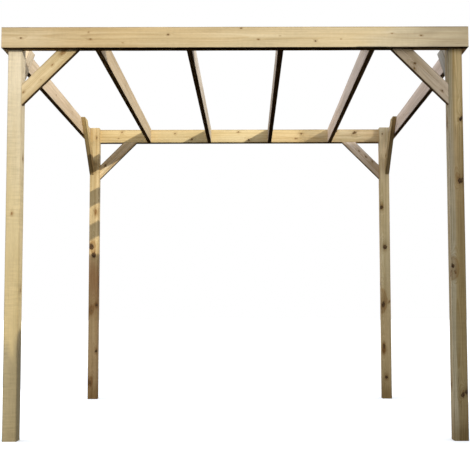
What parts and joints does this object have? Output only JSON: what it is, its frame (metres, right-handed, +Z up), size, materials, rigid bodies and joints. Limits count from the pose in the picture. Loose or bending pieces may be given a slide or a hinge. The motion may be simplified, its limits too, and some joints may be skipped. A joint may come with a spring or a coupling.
{
  "type": "wooden pergola",
  "caption": "Free-standing open garden frame of pale timber: square corner posts carry a flat roof of fascia boards, side rails and level rafters, stiffened by knee braces.",
  "frame": {"origin": "on the ground, under the middle of the frame", "axes": "+X to the right along the front, +Y from the front to the back, +Z up"},
  "size_m": [3, 3.072, 2.64],
  "materials": {
    "fascia_timber": "planed softwood, pale straw with lengthwise grain",
    "rail_timber": "planed softwood, pinkish beige",
    "beam_timber": "planed softwood, warm straw",
    "rafter_timber": "planed softwood, pinkish beige",
    "post_timber": "sawn softwood, cream with small knots",
    "brace_timber": "planed softwood, straw to olive brown"
  },
  "bodies": {
    "root": {"front_fascia": "fascia_timber", "back_fascia": "fascia_timber", "left_side_rail": "rail_timber", "right_side_rail": "rail_timber", "front_inner_beam": "beam_timber", "back_inner_beam": "beam_timber", "rafter_1": "rafter_timber", "rafter_2": "rafter_timber", "rafter_3": "rafter_timber", "rafter_4": "rafter_timber", "front_left_post": "post_timber", "front_right_post": "post_timber", "back_left_post": "post_timber", "back_right_post": "post_timber", "front_left_cross_brace": "brace_timber", "front_right_cross_brace": "brace_timber", "back_left_cross_brace": "brace_timber", "back_right_cross_brace": "brace_timber", "front_left_side_brace": "brace_timber", "front_right_side_brace": "brace_timber", "back_left_side_brace": "brace_timber", "back_right_side_brace": "brace_timber"}
  },
  "joints": []
}
